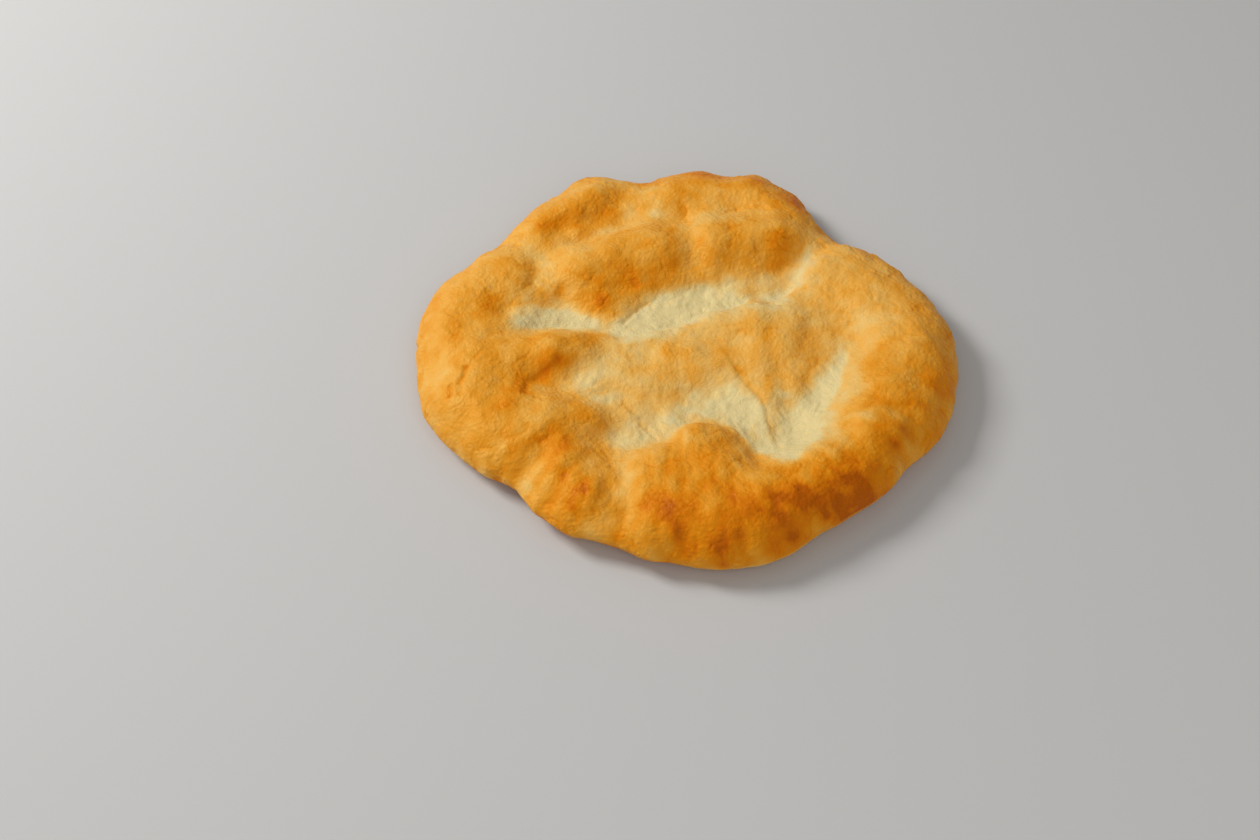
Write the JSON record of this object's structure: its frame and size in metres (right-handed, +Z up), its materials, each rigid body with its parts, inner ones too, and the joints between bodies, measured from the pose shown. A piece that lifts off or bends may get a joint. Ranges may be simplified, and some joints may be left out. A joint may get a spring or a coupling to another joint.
{
  "type": "fried flat yeast bread (langos)",
  "caption": "Fried flat bread lying on its flat underside, with a thick uneven golden edge, puffed mounds and pale thin hollows.",
  "frame": {"origin": "middle of the bread's bounding box, on the plane of its flat underside", "axes": "+Z up out of the bread's top, +X to the right and +Y away, as seen by the person who eats it"},
  "size_m": [0.1968, 0.1918, 0.0215],
  "materials": {
    "crust": "satin golden-brown fried crust, cream where the dough is thin"
  },
  "bodies": {
    "root": {"langos": "crust"}
  },
  "joints": []
}
